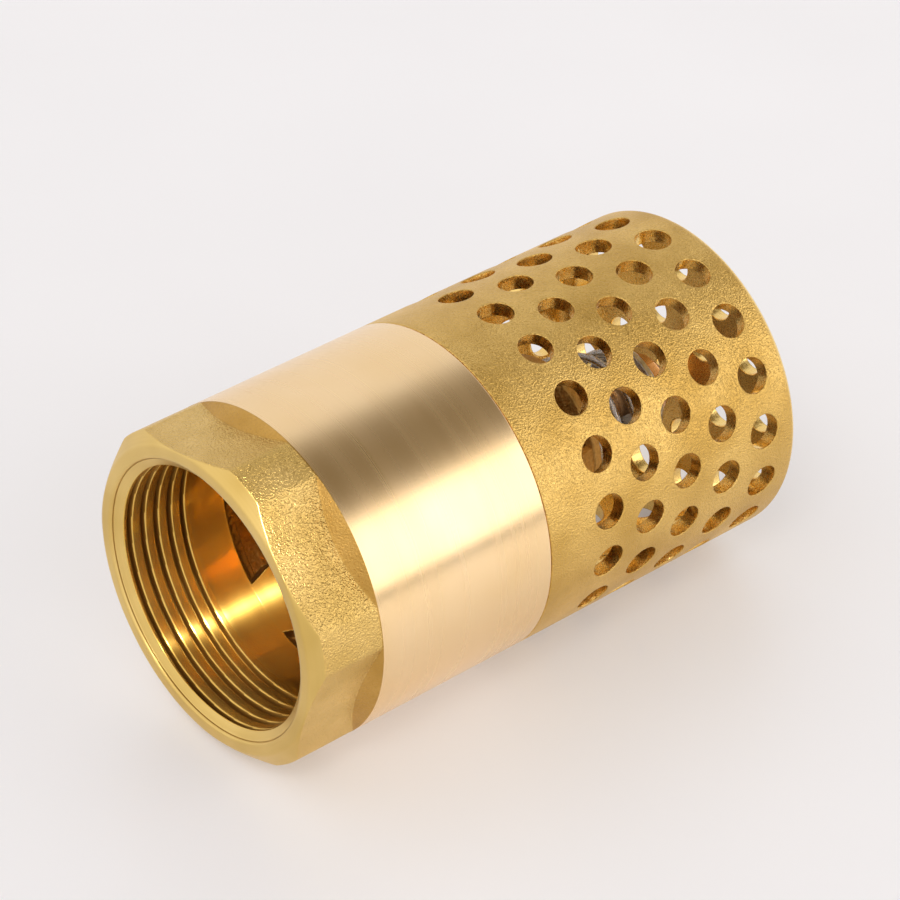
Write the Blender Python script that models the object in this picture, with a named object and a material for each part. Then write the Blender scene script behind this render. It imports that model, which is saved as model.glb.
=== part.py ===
"""Brass foot valve, DN32, with a G 1-1/4 female outlet.

The valve lies on its side: its axis runs along X at the height of the barrel's radius, the
threaded outlet faces -X and the strainer's perforated end wall faces +X.  All sizes below are in
millimetres.  A station is a distance along the axis, measured from the outlet's end face.
Angles about the axis start at +Z (up) and turn towards -Y.
"""
import math

import bmesh
import bpy

MM = 0.001

# ---- driving dimensions ---------------------------------------------------------------------
LENGTH = 89.0
BARREL_R = 25.0
FACETS = 72                        # sides of the castings, one of them at the bottom
DISC_FACETS = 36
SMALL_FACETS = 24
RUN_GAP = 0.1                      # radial clearance of the stem in its guide
FACE_GAP = 0.3                     # gap kept between pieces that touch

# outlet: G 1-1/4 thread, 11 threads per inch
THREAD_MAJOR_R = 41.910 / 2
THREAD_MINOR_R = 38.952 / 2
COUNTERSINK = 1.3
THREAD_END = 12.6

# hexagon collar
HEX_LENGTH = 11.25
HEX_FLATS = 46.0
HEX_TURN = 20.0                    # angle of the first corner
HEX_NOSE_R = 22.9                  # where the front chamfer starts
HEX_CHAMFER = 1.3
SHOULDER_LENGTH = 1.9              # the flats run out up a slope to the barrel

# barrel
BARREL_END = 41.35
BORE_R = 19.75
POCKET_STATION = 18.75             # cast pockets between three ribs that guide the poppet's rim
POCKET_R = 22.0
RIB_CENTRES = (92.5, 212.5, 332.5)
RIB_HALF_WIDTH = 15.0
SOCKET_STATION = 33.0              # the rear socket, which takes the strainer's spigot
SOCKET_R = 22.6

# strainer
WALL = 2.2
SPIGOT_R = SOCKET_R - FACE_GAP
SPIGOT_INNER_R = 20.0
END_WALL = 2.1
END_ROUNDING = 1.6
HOLE_RINGS = (52.5, 60.0, 67.3, 74.9, 82.4)
HOLES_PER_RING = 18
HOLE_R = 2.6
HOLE_START = 60.6                  # angle of a hole of the first ring; every second ring is half
HOLE_FACETS = 8                    # a pitch further round
END_HOLE_RINGS = (                 # radius, number of holes, angle of the first one
    (0.0, 1, 0.0),
    (10.3, 6, 39.5),
    (18.9, 13, 1.5),
)

# guide cage
SEAT_R = 15.5
SEAT_LIP_R = 16.8
SEAT_LIP = 0.7
CAGE_RIM = 2.9
CAGE_ARM_CENTRES = (92.5, 212.5, 332.5)
CAGE_ARM_HALF_WIDTH = 24.0
CAGE_WALL = 2.2
HUB_R = 5.6
HUB_START = 51.0
FLANGE_R = 12.2
FLANGE_STATION = 61.3
FLANGE_END = 62.6

# poppet and spring
STEM_R = 3.0
STEM_START = 22.8
STEM_END = 84.4
STEM_COLLAR_R = 5.0
STEM_COLLAR = (34.1, 36.6)
DISC_R = 19.2
DISC = (27.5, 30.0)
SEAL_R = 18.4
SEAL = (30.3, 32.3)
RETAINER_R = 13.0
RETAINER = (32.6, 33.8)
POPPET_NUT = (23.7, 27.2)
POPPET_NUT_FLATS = 10.0
WASHER_R = 7.5
WASHER = (78.0, 79.0)
STEM_NUT = (79.3, 82.8)
STEM_NUT_FLATS = 9.0
SPRING_WIRE = 1.2
SPRING_COILS = 5.0
SPRING_R = (11.0, 6.0)             # coil radius on the flange and on the washer
SPRING_POINTS = 14                 # points for each turn


# ---- frame ----------------------------------------------------------------------------------
def at(station, radius, angle):
    """World position, in metres, of a point at a station, a radius and an angle in degrees."""
    turn = math.radians(angle)
    return (
        (station - LENGTH / 2) * MM,
        -radius * math.sin(turn) * MM,
        (BARREL_R + radius * math.cos(turn)) * MM,
    )


def facet_angles(count):
    """Angles of the corners of a many-sided round that has a facet at the bottom."""
    return [180.0 + (index + 0.5) * 360.0 / count for index in range(count)]


# ---- sections: functions that give the radius at an angle --------------------------------------
def hexagon(flats, corner_angle, largest_r):
    """A hexagon's outline, cut off at a circle of largest_r."""
    def radius(angle):
        from_flat = (angle - corner_angle) % 60.0 - 30.0
        return min(largest_r, flats / 2 / math.cos(math.radians(from_flat)))
    return radius


def pocketed(rib_r, pocket_r):
    """Radius of the body's bore where ribs alternate with pockets."""
    def radius(angle):
        for centre in RIB_CENTRES:
            if abs((angle - centre + 180.0) % 360.0 - 180.0) < RIB_HALF_WIDTH + 0.1:
                return rib_r
        return pocket_r
    return radius


def radius_at(section, angle):
    return section(angle) if callable(section) else section


# ---- materials ------------------------------------------------------------------------------
def material(name, color, roughness, metallic):
    made = bpy.data.materials.new(name)
    made.use_nodes = True
    shader = made.node_tree.nodes["Principled BSDF"]
    shader.inputs["Base Color"].default_value = (*color, 1.0)
    shader.inputs["Roughness"].default_value = roughness
    shader.inputs["Metallic"].default_value = metallic
    return made


BRASS = dict(color=(0.62, 0.40, 0.14), roughness=0.32, metallic=1.0)
CAST_BRASS = dict(color=(0.50, 0.33, 0.12), roughness=0.48, metallic=1.0)
STEEL = dict(color=(0.62, 0.61, 0.60), roughness=0.25, metallic=1.0)
RUBBER = dict(color=(0.02, 0.02, 0.02), roughness=0.8, metallic=0.0)


# ---- solids ---------------------------------------------------------------------------------
def add_object(name, mesh_builder, finish, smooth_angle=30.0):
    """Close a bmesh into a named object with its own material."""
    bmesh.ops.recalc_face_normals(mesh_builder, faces=mesh_builder.faces)
    mesh = bpy.data.meshes.new(name)
    mesh_builder.to_mesh(mesh)
    mesh_builder.free()
    mesh.shade_smooth()
    mesh.set_sharp_from_angle(angle=math.radians(smooth_angle))
    mesh.materials.append(material(name, **finish))
    made = bpy.data.objects.new(name, mesh)
    bpy.context.scene.collection.objects.link(made)
    return made


def ring_of_vertices(builder, station, section, angles):
    return [builder.verts.new(at(station, radius_at(section, angle), angle)) for angle in angles]


def bridge(builder, first, second):
    """Quads between two rings, or triangles to a ring of one vertex."""
    count = max(len(first), len(second))
    for index in range(count):
        after = (index + 1) % count
        corners = [first[index % len(first)], first[after % len(first)],
                   second[after % len(second)], second[index % len(second)]]
        distinct = list(dict.fromkeys(corners))
        if len(distinct) > 2:
            builder.faces.new(distinct)


def turned(name, outline, finish, facets=FACETS):
    """Turn a closed outline of (station, section) about the axis.

    A section is a radius or a function of the angle.  Radius 0 closes the piece on the axis.
    """
    builder = bmesh.new()
    angles = facet_angles(facets)
    rings = []
    for station, section in outline:
        if section == 0:
            rings.append([builder.verts.new(at(station, 0.0, 0.0))])
        else:
            rings.append(ring_of_vertices(builder, station, section, angles))
    for first, second in zip(rings, rings[1:]):
        bridge(builder, first, second)
    if outline[0][1] != 0:
        bridge(builder, rings[-1], rings[0])
    return add_object(name, builder, finish)


def washer(name, stations, outer_r, inner_r, finish, facets=DISC_FACETS, edge=0.2):
    """A flat ring with slightly rounded outer edges."""
    front, back = stations
    outline = [
        (front, inner_r), (front, outer_r - edge), (front + edge, outer_r),
        (back - edge, outer_r), (back, outer_r - edge), (back, inner_r),
    ]
    return turned(name, outline, finish, facets)


def hexagon_nut(name, stations, flats, finish):
    """A hexagon nut with turned corners, bored to clear the stem."""
    front, back = stations
    corner_r = flats / 2 * 1.12
    chamfered = hexagon(flats, HEX_TURN, flats / 2)
    full = hexagon(flats, HEX_TURN, corner_r)
    bore_r = STEM_R + RUN_GAP
    outline = [
        (front, bore_r), (front, chamfered), (front + 0.5, full),
        (back - 0.5, full), (back, chamfered), (back, bore_r),
    ]
    return turned(name, outline, finish, DISC_FACETS)


def cut(target, cutter, operation="DIFFERENCE"):
    """Combine two objects for good, and remove the second."""
    modifier = target.modifiers.new(operation.lower(), "BOOLEAN")
    modifier.operation = operation
    modifier.solver = "EXACT"
    modifier.object = cutter
    cut_mesh = bpy.data.meshes.new_from_object(
        target.evaluated_get(bpy.context.evaluated_depsgraph_get()))
    target.modifiers.clear()
    cut_mesh.name = target.name
    target.data = cut_mesh
    bpy.data.objects.remove(cutter)


# ---- pieces ---------------------------------------------------------------------------------
def valve_body():
    ribbed = pocketed(BORE_R, POCKET_R)
    outline = [
        # outside, front to back
        (0.0, THREAD_MAJOR_R + 0.15),
        (0.0, HEX_NOSE_R),
        (HEX_CHAMFER, BARREL_R),
        (HEX_LENGTH, BARREL_R),
        (BARREL_END, BARREL_R),
        # inside, back to front
        (BARREL_END, SOCKET_R),
        (SOCKET_STATION, SOCKET_R),
        (SOCKET_STATION, ribbed),
        (POCKET_STATION + 1.5, ribbed),
        (POCKET_STATION, BORE_R),
        (THREAD_END, BORE_R),
        (THREAD_END - 0.2, THREAD_MINOR_R),
        (COUNTERSINK, THREAD_MINOR_R),
    ]
    body = turned("valve_body", outline, BRASS)
    cut(body, flat_mills())
    body.data.set_sharp_from_angle(angle=math.radians(30.0))
    return body


def flat_mills():
    """Six blocks that mill the wrench flats off the round collar, each with a sloping back."""
    builder = bmesh.new()
    near, far, half_width = HEX_FLATS / 2, HEX_FLATS / 2 + 6.0, HEX_FLATS * 0.27
    slope = SHOULDER_LENGTH / (BARREL_R - near)
    near_back = HEX_LENGTH - SHOULDER_LENGTH
    far_back = near_back + slope * (far - near)
    for index in range(6):
        middle = HEX_TURN + 30.0 + 60.0 * index
        ends = []
        for near_station, far_station in ((-1.0, -1.0), (near_back, far_back)):
            corners = ((near, -half_width, near_station), (near, half_width, near_station),
                       (far, half_width, far_station), (far, -half_width, far_station))
            ends.append([
                builder.verts.new(at(
                    station, math.hypot(out, side), middle + math.degrees(math.atan2(side, out))))
                for out, side, station in corners])
        bridge(builder, *ends)
        for end in ends:
            builder.faces.new(end)
    return add_object("flat_mills", builder, BRASS)


def strainer_basket():
    inner_r = BARREL_R - WALL
    joint = BARREL_END + FACE_GAP
    rounding = [
        (LENGTH - END_ROUNDING * (1 - math.sin(turn)), BARREL_R - END_ROUNDING * (1 - math.cos(turn)))
        for turn in (0.0, math.pi / 6, math.pi / 3, math.pi / 2)
    ]
    outline = [
        (SOCKET_STATION + 4.3, SPIGOT_INNER_R),
        (SOCKET_STATION + 4.3, SPIGOT_R),
        (joint, SPIGOT_R),
        (joint, BARREL_R),
        *rounding,
        (LENGTH, 0),
    ]
    inside = [
        (LENGTH - END_WALL, 0),
        (LENGTH - END_WALL, inner_r - 1.0),
        (LENGTH - END_WALL - 1.0, inner_r),
        (joint + 3.5, inner_r),
        (joint + 1.0, SPIGOT_INNER_R),
    ]
    builder = bmesh.new()
    angles = facet_angles(FACETS)
    rings = []
    for station, section in outline + inside:
        if section == 0:
            rings.append([builder.verts.new(at(station, 0.0, 0.0))])
        else:
            rings.append(ring_of_vertices(builder, station, section, angles))
    pole = len(outline) - 1
    for index, (first, second) in enumerate(zip(rings, rings[1:])):
        if index != pole:
            bridge(builder, first, second)
    bridge(builder, rings[-1], rings[0])
    basket = add_object("strainer_basket", builder, CAST_BRASS)
    cut(basket, hole_drills())
    cut(basket, end_drills())
    basket.data.set_sharp_from_angle(angle=math.radians(30.0))
    return basket


def hole_drills():
    """One drill for each hole: a short radial rod through the wall."""
    builder = bmesh.new()
    pitch = 360.0 / HOLES_PER_RING
    depths = (BARREL_R - WALL - 1.5, BARREL_R + 1.5)
    for row, station in enumerate(HOLE_RINGS):
        for index in range(HOLES_PER_RING):
            angle = HOLE_START + (index + 0.5 * (row % 2)) * pitch
            ends = [drill_circle(builder, station, angle, depth) for depth in depths]
            bridge(builder, *ends)
            for end in ends:
                builder.faces.new(end)
    return add_object("hole_drills", builder, BRASS)


def end_drills():
    """One drill for each hole of the end wall: a short rod along the axis."""
    builder = bmesh.new()
    for ring_r, count, first_angle in END_HOLE_RINGS:
        for index in range(count):
            turn = math.radians(first_angle + 360.0 * index / count)
            across, up = -ring_r * math.sin(turn), ring_r * math.cos(turn)
            ends = []
            for station in (LENGTH - END_WALL - 1.5, LENGTH + 1.5):
                circle = []
                for corner in range(HOLE_FACETS):
                    round_angle = 2 * math.pi * (corner + 0.5) / HOLE_FACETS
                    circle.append(builder.verts.new((
                        (station - LENGTH / 2) * MM,
                        (across + HOLE_R * math.cos(round_angle)) * MM,
                        (BARREL_R + up + HOLE_R * math.sin(round_angle)) * MM,
                    )))
                ends.append(circle)
            bridge(builder, *ends)
            for end in ends:
                builder.faces.new(end)
    return add_object("end_drills", builder, BRASS)


def drill_circle(builder, station, angle, depth):
    """A circle of the holes' radius, square to the radius at an angle, at a depth."""
    turn = math.radians(angle)
    circle = []
    for index in range(HOLE_FACETS):
        round_angle = 2 * math.pi * (index + 0.5) / HOLE_FACETS
        along = HOLE_R * math.cos(round_angle)
        across = HOLE_R * math.sin(round_angle)
        circle.append(builder.verts.new((
            (station + along - LENGTH / 2) * MM,
            (-depth * math.sin(turn) - across * math.cos(turn)) * MM,
            (BARREL_R + depth * math.cos(turn) - across * math.sin(turn)) * MM,
        )))
    return circle


def guide_cage():
    """Seat ring, sloping cone of three arms, hub and spring flange, in one casting."""
    front = SOCKET_STATION + FACE_GAP
    back = front + CAGE_RIM
    rim_r = SOCKET_R - FACE_GAP
    cone_start_r = SPIGOT_INNER_R - FACE_GAP
    cone_end_r = FLANGE_R - 0.4
    bore_r = STEM_R + RUN_GAP
    outline = [
        # outside
        (front - SEAT_LIP, SEAT_R), (front - SEAT_LIP, SEAT_LIP_R), (front, SEAT_LIP_R + 0.5),
        (front, rim_r), (back, rim_r), (back, cone_start_r),
        (FLANGE_STATION, cone_end_r), (FLANGE_STATION, FLANGE_R),
        (FLANGE_END, FLANGE_R),
        # hub
        (FLANGE_END, bore_r), (HUB_START, bore_r), (HUB_START, HUB_R),
        # inside of the cone
        (FLANGE_STATION - 2.0, HUB_R),
        (FLANGE_STATION - 2.0, cone_end_r - CAGE_WALL),
        (back, cone_start_r - CAGE_WALL), (back - 0.6, SEAT_R),
    ]
    cage = turned("guide_cage", outline, BRASS, DISC_FACETS)
    cut(cage, window_cutters())
    cage.data.set_sharp_from_angle(angle=math.radians(30.0))
    return cage


def window_cutters():
    """Wedges between the arms, which open the cone but keep the rim, hub and flange."""
    builder = bmesh.new()
    front = SOCKET_STATION + FACE_GAP + CAGE_RIM + 1.5
    back = FLANGE_STATION - 1.0
    inner_r = HUB_R + 0.8
    steps = 6
    sweep = 120.0 - 2 * CAGE_ARM_HALF_WIDTH
    for centre in CAGE_ARM_CENTRES:
        rows = []
        for step in range(steps + 1):
            angle = centre + CAGE_ARM_HALF_WIDTH + sweep * step / steps
            rows.append([builder.verts.new(at(station, radius, angle)) for station, radius in (
                (front, inner_r), (front, BARREL_R), (back, BARREL_R), (back, inner_r))])
        for first_row, second_row in zip(rows, rows[1:]):
            bridge(builder, first_row, second_row)
        builder.faces.new(rows[0])
        builder.faces.new(rows[-1])
    return add_object("window_cutters", builder, BRASS)


def valve_stem():
    collar_front, collar_back = STEM_COLLAR
    outline = [
        (STEM_START, 0), (STEM_START, STEM_R - 0.4), (STEM_START + 0.4, STEM_R),
        (collar_front, STEM_R), (collar_front, STEM_COLLAR_R), (collar_back, STEM_COLLAR_R),
        (collar_back, STEM_R), (STEM_END - 0.4, STEM_R), (STEM_END, STEM_R - 0.4), (STEM_END, 0),
    ]
    return turned("valve_stem", outline, BRASS, SMALL_FACETS)


def return_spring():
    """Conical coil of round wire with ground ends, from the cage's flange to the washer."""
    wire_r = SPRING_WIRE / 2
    start = FLANGE_END + FACE_GAP + wire_r
    end = WASHER[0] - FACE_GAP - wire_r
    count = int(SPRING_COILS * SPRING_POINTS)
    curve = bpy.data.curves.new("return_spring", "CURVE")
    curve.dimensions = "3D"
    curve.bevel_depth = wire_r * MM
    curve.bevel_resolution = 1
    curve.use_fill_caps = True
    spline = curve.splines.new("POLY")
    spline.points.add(count)
    for index, point in enumerate(spline.points):
        part = index / count
        rise = spring_rise(part)
        radius = SPRING_R[0] + (SPRING_R[1] - SPRING_R[0]) * rise
        point.co = (*at(start + (end - start) * rise, radius, 360.0 * SPRING_COILS * part), 1.0)
    curve.materials.append(material("return_spring", **STEEL))
    made = bpy.data.objects.new("return_spring", curve)
    bpy.context.scene.collection.objects.link(made)
    return made


def spring_rise(part):
    """Share of the length climbed: the end coils are flatter than the working coils."""
    flat = 0.12
    if part < flat:
        return 0.35 * part
    if part > 1 - flat:
        return 1 - 0.35 * (1 - part)
    low = 0.35 * flat
    return low + (1 - 2 * low) * (part - flat) / (1 - 2 * flat)


def body_gasket():
    """O-ring between the cage's rim and the end of the strainer's spigot."""
    section_r = 0.45
    station = SOCKET_STATION + FACE_GAP + CAGE_RIM + 0.55
    middle_r = SOCKET_R - 0.9
    outline = [
        (station + section_r * math.sin(turn), middle_r + section_r * math.cos(turn))
        for turn in (2 * math.pi * index / 6 for index in range(6))
    ]
    return turned("body_gasket", outline, RUBBER, DISC_FACETS)


def main():
    for old in list(bpy.data.objects):
        bpy.data.objects.remove(old)
    bore_r = STEM_R + RUN_GAP
    valve_body()
    strainer_basket()
    guide_cage()
    body_gasket()
    washer("poppet_disc", DISC, DISC_R, bore_r, BRASS)
    washer("seat_seal", SEAL, SEAL_R, bore_r, RUBBER)
    washer("seal_retainer", RETAINER, RETAINER_R, bore_r, BRASS)
    hexagon_nut("poppet_nut", POPPET_NUT, POPPET_NUT_FLATS, BRASS)
    valve_stem()
    return_spring()
    washer("spring_washer", WASHER, WASHER_R, bore_r, STEEL, SMALL_FACETS)
    hexagon_nut("stem_nut", STEM_NUT, STEM_NUT_FLATS, BRASS)


main()
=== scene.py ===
"""Looks of the brass foot valve: detailed pieces, finishes, studio and camera.

Lengths below are in millimetres unless they say otherwise.  A station is a distance along the
valve's axis from the outlet's end face.  Angles about the axis are in degrees, start at +Z (up)
and turn towards -Y.  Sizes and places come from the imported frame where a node's box gives them.
"""
import math
import random

import bmesh
import bpy
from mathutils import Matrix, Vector, noise
from mathutils.geometry import delaunay_2d_cdt


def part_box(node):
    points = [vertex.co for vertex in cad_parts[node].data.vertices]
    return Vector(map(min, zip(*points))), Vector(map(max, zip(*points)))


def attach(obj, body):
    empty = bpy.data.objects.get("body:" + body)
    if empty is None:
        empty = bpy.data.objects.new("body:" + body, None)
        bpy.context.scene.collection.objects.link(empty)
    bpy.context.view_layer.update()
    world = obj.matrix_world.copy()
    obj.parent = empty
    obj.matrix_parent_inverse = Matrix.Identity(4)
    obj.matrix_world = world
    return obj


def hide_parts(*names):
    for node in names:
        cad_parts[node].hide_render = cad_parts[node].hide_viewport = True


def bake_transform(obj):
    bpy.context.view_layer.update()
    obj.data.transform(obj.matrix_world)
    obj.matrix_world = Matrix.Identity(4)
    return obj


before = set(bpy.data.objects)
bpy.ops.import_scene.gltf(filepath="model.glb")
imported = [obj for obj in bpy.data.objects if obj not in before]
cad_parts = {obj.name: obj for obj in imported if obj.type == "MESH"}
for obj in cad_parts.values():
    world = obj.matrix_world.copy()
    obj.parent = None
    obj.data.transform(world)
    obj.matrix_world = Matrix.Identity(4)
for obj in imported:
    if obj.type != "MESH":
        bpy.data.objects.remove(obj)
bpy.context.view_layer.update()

MM = 0.001
random.seed(11)

# ---- sizes taken from the frame ----
body_low, body_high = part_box("valve_body")
OUTLET_X = body_low.x / MM
AXIS_Z = (body_low.z + body_high.z) / 2 / MM
BARREL_R = (body_high.z - body_low.z) / 2 / MM


def node_span(node):
    """First station, last station and radius of a CAD node."""
    low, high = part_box(node)
    return low.x / MM - OUTLET_X, high.x / MM - OUTLET_X, (high.z - low.z) / 2 / MM


BARREL_END = node_span("valve_body")[1]
SPIGOT_START, LENGTH, _ = node_span("strainer_basket")
CAGE_START, CAGE_END, CAGE_R = node_span("guide_cage")

# ---- driving dimensions ----
# collar: a hexagon with turned corners, chamfered in front and sloping up to the barrel behind
FLATS = 46.0
CORNER_R = BARREL_R - 0.03
FIRST_CORNER = 20.0
NOSE_R = 22.9
NOSE_LENGTH = 1.35
SHOULDER_START = 9.3
COLLAR_LENGTH = 11.25
CAST_EDGE = 0.18  # rounding of the casting's edges

# outlet: G 1-1/4 thread, 11 threads per inch
MOUTH_R = 21.15
THREAD_PITCH = 25.4 / 11
THREAD_CREST_R = 19.62
THREAD_DEPTH = 0.95
THREAD_HALF_GROOVE = 0.49
CREST_ROUNDING = 0.1
GROOVE_EASING = 0.25  # rounding of a groove's bottom and edges, as parts of its depth
THREAD_START = 1.35
THREAD_END = 12.6
FIRST_GROOVE = 2.85  # station of the first groove at angle 0
BORE_R = 19.75

# pockets between the ribs that guide the poppet
POCKET_START = 18.75
POCKET_R = 22.0
POCKET_STEPS = (  # depth, first and last distance from the pocket's start
    (1.1, 0.0, 0.35),
    (0.55, 0.35, 1.8),
)
POCKET_WALL = (2.2, 2.5)  # the last step, down to POCKET_R, as distances from the start
SOCKET_START = 33.0
SOCKET_R = 22.6
RIB_CENTRES = (92.5, 212.5, 332.5)
RIB_HALF_WIDTH = 15.0
RIB_NARROW = 12.2  # half width where the pockets start
RIB_FULL_AT = 22.6

# strainer
WALL = 2.2
JOINT_GAP = 0.1
SPIGOT_R = 22.3
SPIGOT_INNER_R = 20.0
END_WALL = 2.1
END_BEVEL = 1.0  # slope inside, between the wall and the end wall
END_ROUNDING = 1.6
HOLE_R = 2.62
HOLE_LIP = 0.16
HOLES_PER_RING = 18
HOLE_RINGS = (52.5, 60.0, 67.3, 74.9, 82.4)
FIRST_HOLE = 60.6
END_HOLE_RINGS = (  # radius, number of holes, angle of the first one
    (0.0, 1, 0.0),
    (10.3, 6, 39.5),
    (18.9, 13, 1.5),
)
INNER_R = BARREL_R - WALL
INNER_EDGE = LENGTH - END_WALL - 0.9  # where the last ring's cells end inside
END_LIP = HOLE_LIP + 0.06  # how far a hole of the end wall opens out in its faces
CELL_SIDE = 12  # mesh segments along each side of a hole's cell
HOLE_POINTS = 4 * CELL_SIDE  # mesh points round a hole

# guide cage
SEAT_R = 15.5
SEAT_LIP_R = 16.8
SEAT_LIP = 0.7
RIM_LENGTH = 2.9
CONE_START_R = 19.7
FLANGE_STATION = 61.3
FLANGE_R = 12.2
ARM_WALL = 2.2
ARM_HALF_WIDTH = 24.0
HUB_START = 51.0
HUB_R = 5.6

# poppet, stem and spring
STEM_R = 3.0
STEM_HOLE_R = 3.1  # hole for the stem in every piece that sits on it
STEM_THREAD_PITCH = 1.0
STEM_THREAD_DEPTH = 0.5
WIRE_R = 0.6
COILS = 5
SPRING_START_R = 11.0
SPRING_END_R = 6.0

# camera and studio
CAMERA_AZIMUTH = -40.6
CAMERA_ELEVATION = 34.92
CAMERA_DISTANCE = 548.9
CAMERA_LENS = 154.4
CAMERA_AIM = (1.45, 1.89, 28.41)
WALLS = (0.92, 0.905, 0.92)
OUTLET_SIDE = (1.15, 1.13, 1.15)
OUTLET_SIDE_AXIS = (-1.0, 0.0, 0.1)
OUTLET_SIDE_FADE = (0.0, 0.75)  # cosines of the angles from the axis between which it fades in
CEILING = (0.17, 0.13, 0.07)
CEILING_AXIS = (0.25, -0.18, 0.95)
CEILING_FADE = (0.77, 0.94)
FLOOR_GLOW = 0.22  # the floor is a lit table, so its shadows stay pale
FLOOR_REACH = 6000.0
BEAM_AIM = (0.0, -4.0, 7.5)  # from the centre of the mouth
BEAM_SOURCE_R = 6.0


# ---- frame ----
def at(station, radius, angle):
    """World position, in metres, of a point at a station, a radius and an angle."""
    turn = math.radians(angle)
    return (
        (OUTLET_X + station) * MM,
        -radius * math.sin(turn) * MM,
        (AXIS_Z + radius * math.cos(turn)) * MM,
    )


def radius_of(place):
    """Distance of a world position from the axis, in millimetres."""
    return math.hypot(place[1] / MM, place[2] / MM - AXIS_Z)


def turn_between(first, second):
    """The smaller angle from the second direction to the first, from -180 to 180."""
    return (first - second + 180.0) % 360.0 - 180.0


def smooth_min(first, second, width):
    """The smaller value, rounded where the two are within a width of each other."""
    blend = max(width - abs(first - second), 0.0) / width
    return min(first, second) - blend * blend * width / 4


def smooth_max(first, second, width):
    """The larger value, rounded in the same way."""
    return -smooth_min(-first, -second, width)


def ramp(value, start, end):
    """0 before start, 1 after end, and smooth between."""
    part = min(max((value - start) / (end - start), 0.0), 1.0)
    return part * part * (3 - 2 * part)


def steps(start, end, spacing):
    """Evenly spaced values from start up to, but not including, end."""
    count = max(1, round(abs(end - start) / spacing))
    return [start + (end - start) * index / count for index in range(count)]


def unevenness(station, angle, size, depth):
    """A casting's slow unevenness at a place, in millimetres."""
    place = Vector(at(station, BARREL_R, angle)) / (size * MM)
    return depth * noise.noise(place)


# ---- meshes ----
def add_piece(name, vertices, faces, materials, face_materials=None):
    """Make a mesh object, join its seams and turn its faces outwards."""
    mesh = bpy.data.meshes.new(name)
    mesh.from_pydata(vertices, [], faces)
    for finish in materials:
        mesh.materials.append(finish)
    if face_materials:
        mesh.polygons.foreach_set("material_index", face_materials)
    builder = bmesh.new()
    builder.from_mesh(mesh)
    bmesh.ops.remove_doubles(builder, verts=builder.verts, dist=0.002 * MM)
    bmesh.ops.recalc_face_normals(builder, faces=builder.faces)
    builder.to_mesh(mesh)
    builder.free()
    mesh.shade_smooth()
    made = bpy.data.objects.new(name, mesh)
    bpy.context.scene.collection.objects.link(made)
    return made


def finish_piece(piece, body, slot, *nodes):
    """Put a piece on its CAD body, in place of its CAD nodes.  The slot is not used."""
    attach(piece, body)
    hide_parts(*nodes)
    return piece


def loop_faces(rows, columns, closed):
    """Quads between neighbouring rows of a grid whose columns go all the way round."""
    faces = []
    for row in range(rows if closed else rows - 1):
        first, second = row * columns, (row + 1) % rows * columns
        for column in range(columns):
            after = (column + 1) % columns
            faces.append((first + column, first + after, second + after, second + column))
    return faces


def fillet(outline, segments=4):
    """Round an outline's corners: each point is (station, radius, rounding)."""
    rounded = []
    count = len(outline)
    for index, (station, radius, rounding) in enumerate(outline):
        corner = Vector((station, radius))
        before = Vector(outline[index - 1][:2])
        after = Vector(outline[(index + 1) % count][:2])
        start = corner + (before - corner).normalized() * rounding
        end = corner + (after - corner).normalized() * rounding
        for step in range(segments + 1):
            part = step / segments
            point = start * (1 - part) ** 2 + corner * 2 * part * (1 - part) + end * part ** 2
            rounded.append((point.x, point.y))
    return rounded


def turned(name, outline, finish, columns=120, reshape=None):
    """Turn a closed outline about the axis.  reshape may change each radius by its angle."""
    vertices = []
    for station, radius in outline:
        for column in range(columns):
            angle = 360.0 * column / columns
            shaped = reshape(station, radius, angle) if reshape else radius
            vertices.append(at(station, shaped, angle))
    return add_piece(name, vertices, loop_faces(len(outline), columns, True), [finish])


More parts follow.
